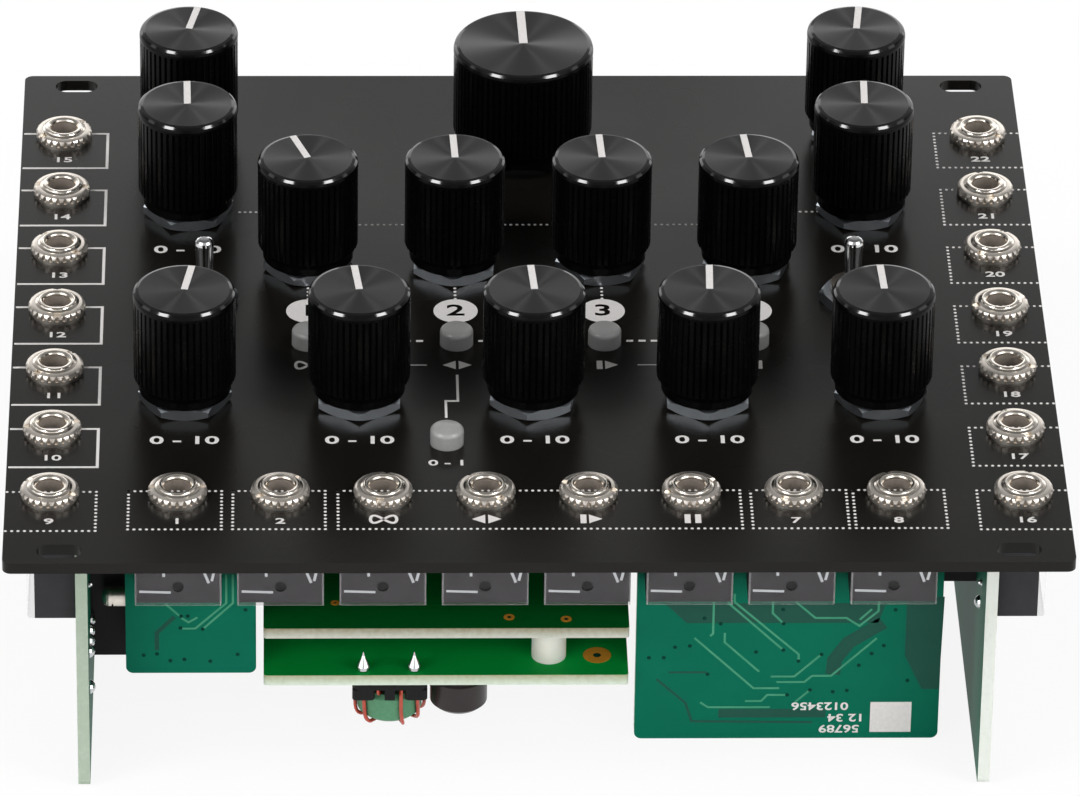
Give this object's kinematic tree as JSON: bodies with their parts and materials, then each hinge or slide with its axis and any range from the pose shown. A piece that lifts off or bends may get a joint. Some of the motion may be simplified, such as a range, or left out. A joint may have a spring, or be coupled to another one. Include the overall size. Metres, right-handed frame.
{
  "type": "eurorack delay module",
  "caption": "Black rack panel with fluted knobs, toggles, buttons and patch jacks in front of a stack of circuit boards; a tape-style echo for a modular synthesizer.",
  "frame": {"origin": "centre of the panel's rear face, amid the four rail slots", "axes": "+X along the panel's width to the right, +Y up the panel, +Z out of its front"},
  "size_m": [0.142, 0.1284, 0.0594],
  "materials": {
    "panel_paint": "matte black",
    "nickel": "bright nickel plate",
    "nut_steel": "bright plated steel",
    "jack_plastic": "moulded black",
    "clear_plastic": "clear, smoky",
    "spring_metal": "tinned",
    "pot_metal": "zinc plate",
    "black_plastic": "moulded black",
    "board": "green solder mask",
    "nylon": "natural white",
    "spacer_steel": "plated",
    "core_coat": "green coat on ferrite",
    "copper": "red enamelled copper",
    "can_sleeve": "dark sleeve on an aluminium can",
    "knob_plastic": "black, glossy top edge",
    "shaft_metal": "turned",
    "button_grey": "soft grey"
  },
  "bodies": {
    "module": {"front_panel": "panel_paint", "jack_nuts": "nickel", "jack_sleeves": "nickel", "jack_housings": "jack_plastic", "jack_lids": "clear_plastic", "jack_contacts": "spring_metal", "hex_nuts": "nut_steel", "pot_bodies": "pot_metal", "toggle_bodies": "pot_metal", "button_switches": "black_plastic", "side_jack_boards": "board", "front_jack_board": "board", "control_board": "board", "main_board": "board", "power_board": "board", "nylon_pillars": "nylon", "steel_spacers": "spacer_steel", "board_headers": "black_plastic", "power_header": "black_plastic", "choke_base": "black_plastic", "choke_core": "core_coat", "choke_winding": "copper", "power_capacitor": "can_sleeve"},
    "dial_top_left": {"knob_top_left": "knob_plastic", "shaft_top_left": "shaft_metal"},
    "dial_upper_left": {"knob_upper_left": "knob_plastic", "shaft_upper_left": "shaft_metal"},
    "dial_top_right": {"knob_top_right": "knob_plastic", "shaft_top_right": "shaft_metal"},
    "dial_upper_right": {"knob_upper_right": "knob_plastic", "shaft_upper_right": "shaft_metal"},
    "dial_large": {"knob_large": "knob_plastic", "shaft_large": "shaft_metal"},
    "dial_head_1": {"knob_head_1": "knob_plastic", "shaft_head_1": "shaft_metal"},
    "dial_head_2": {"knob_head_2": "knob_plastic", "shaft_head_2": "shaft_metal"},
    "dial_head_3": {"knob_head_3": "knob_plastic", "shaft_head_3": "shaft_metal"},
    "dial_head_4": {"knob_head_4": "knob_plastic", "shaft_head_4": "shaft_metal"},
    "dial_low_1": {"knob_low_1": "knob_plastic", "shaft_low_1": "shaft_metal"},
    "dial_low_2": {"knob_low_2": "knob_plastic", "shaft_low_2": "shaft_metal"},
    "dial_low_3": {"knob_low_3": "knob_plastic", "shaft_low_3": "shaft_metal"},
    "dial_low_4": {"knob_low_4": "knob_plastic", "shaft_low_4": "shaft_metal"},
    "dial_low_5": {"knob_low_5": "knob_plastic", "shaft_low_5": "shaft_metal"},
    "push_head_1": {"button_head_1": "button_grey"},
    "push_head_2": {"button_head_2": "button_grey"},
    "push_head_3": {"button_head_3": "button_grey"},
    "push_head_4": {"button_head_4": "button_grey"},
    "push_low": {"button_low": "button_grey"},
    "push_upper_left": {"button_upper_left": "button_grey"},
    "push_upper_right": {"button_upper_right": "button_grey"},
    "lever_left": {"toggle_lever_left": "nickel"},
    "lever_right": {"toggle_lever_right": "nickel"}
  },
  "joints": [
    {"name": "turn_top_left", "type": "hinge", "parent": "module", "child": "dial_top_left", "pos_m": [-0.0472, 0.0474, 0], "axis": [0, 0, 1], "range_deg": [-139, 161]},
    {"name": "turn_upper_left", "type": "hinge", "parent": "module", "child": "dial_upper_left", "pos_m": [-0.0472, 0.0263, 0], "axis": [0, 0, 1], "range_deg": [-151, 149]},
    {"name": "turn_top_right", "type": "hinge", "parent": "module", "child": "dial_top_right", "pos_m": [0.0472, 0.0474, 0], "axis": [0, 0, 1], "range_deg": [-144, 156]},
    {"name": "turn_upper_right", "type": "hinge", "parent": "module", "child": "dial_upper_right", "pos_m": [0.0472, 0.0263, 0], "axis": [0, 0, 1], "range_deg": [-148, 152]},
    {"name": "turn_large", "type": "hinge", "parent": "module", "child": "dial_large", "pos_m": [0, 0.0432, 0], "axis": [0, 0, 1], "range_deg": [-151.5, 148.5]},
    {"name": "turn_head_1", "type": "hinge", "parent": "module", "child": "dial_head_1", "pos_m": [-0.03045, 0.0115, 0], "axis": [0, 0, 1], "range_deg": [-169, 131]},
    {"name": "turn_head_2", "type": "hinge", "parent": "module", "child": "dial_head_2", "pos_m": [-0.01015, 0.0115, 0], "axis": [0, 0, 1], "range_deg": [-152, 148]},
    {"name": "turn_head_3", "type": "hinge", "parent": "module", "child": "dial_head_3", "pos_m": [0.01015, 0.0115, 0], "axis": [0, 0, 1], "range_deg": [-152.4, 147.6]},
    {"name": "turn_head_4", "type": "hinge", "parent": "module", "child": "dial_head_4", "pos_m": [0.03045, 0.0115, 0], "axis": [0, 0, 1], "range_deg": [-155, 145]},
    {"name": "turn_low_1", "type": "hinge", "parent": "module", "child": "dial_low_1", "pos_m": [-0.0472, -0.02345, 0], "axis": [0, 0, 1], "range_deg": [-141, 159]},
    {"name": "turn_low_2", "type": "hinge", "parent": "module", "child": "dial_low_2", "pos_m": [-0.0236, -0.02345, 0], "axis": [0, 0, 1], "range_deg": [-156, 144]},
    {"name": "turn_low_3", "type": "hinge", "parent": "module", "child": "dial_low_3", "pos_m": [0, -0.02345, 0], "axis": [0, 0, 1], "range_deg": [-153.5, 146.5]},
    {"name": "turn_low_4", "type": "hinge", "parent": "module", "child": "dial_low_4", "pos_m": [0.0236, -0.02345, 0], "axis": [0, 0, 1], "range_deg": [-148.3, 151.7]},
    {"name": "turn_low_5", "type": "hinge", "parent": "module", "child": "dial_low_5", "pos_m": [0.0472, -0.02345, 0], "axis": [0, 0, 1], "range_deg": [-152.3, 147.7]},
    {"name": "press_head_1", "type": "slide", "parent": "module", "child": "push_head_1", "axis": [0, 0, -1], "range_m": [0, 0.0005], "stiffness_N_per_m": 300, "springref_m": -0.0005},
    {"name": "press_head_2", "type": "slide", "parent": "module", "child": "push_head_2", "axis": [0, 0, -1], "range_m": [0, 0.0005], "stiffness_N_per_m": 300, "springref_m": -0.0005},
    {"name": "press_head_3", "type": "slide", "parent": "module", "child": "push_head_3", "axis": [0, 0, -1], "range_m": [0, 0.0005], "stiffness_N_per_m": 300, "springref_m": -0.0005},
    {"name": "press_head_4", "type": "slide", "parent": "module", "child": "push_head_4", "axis": [0, 0, -1], "range_m": [0, 0.0005], "stiffness_N_per_m": 300, "springref_m": -0.0005},
    {"name": "press_low", "type": "slide", "parent": "module", "child": "push_low", "axis": [0, 0, -1], "range_m": [0, 0.0005], "stiffness_N_per_m": 300, "springref_m": -0.0005},
    {"name": "press_upper_left", "type": "slide", "parent": "module", "child": "push_upper_left", "axis": [0, 0, -1], "range_m": [0, 0.0005], "stiffness_N_per_m": 300, "springref_m": -0.0005},
    {"name": "press_upper_right", "type": "slide", "parent": "module", "child": "push_upper_right", "axis": [0, 0, -1], "range_m": [0, 0.0005], "stiffness_N_per_m": 300, "springref_m": -0.0005},
    {"name": "flip_left", "type": "hinge", "parent": "module", "child": "lever_left", "pos_m": [-0.0447, 0.002, 0.0028], "axis": [1, 0, 0], "range_deg": [-12, 12]},
    {"name": "flip_right", "type": "hinge", "parent": "module", "child": "lever_right", "pos_m": [0.0447, 0.002, 0.0028], "axis": [1, 0, 0], "range_deg": [-12, 12]}
  ]
}
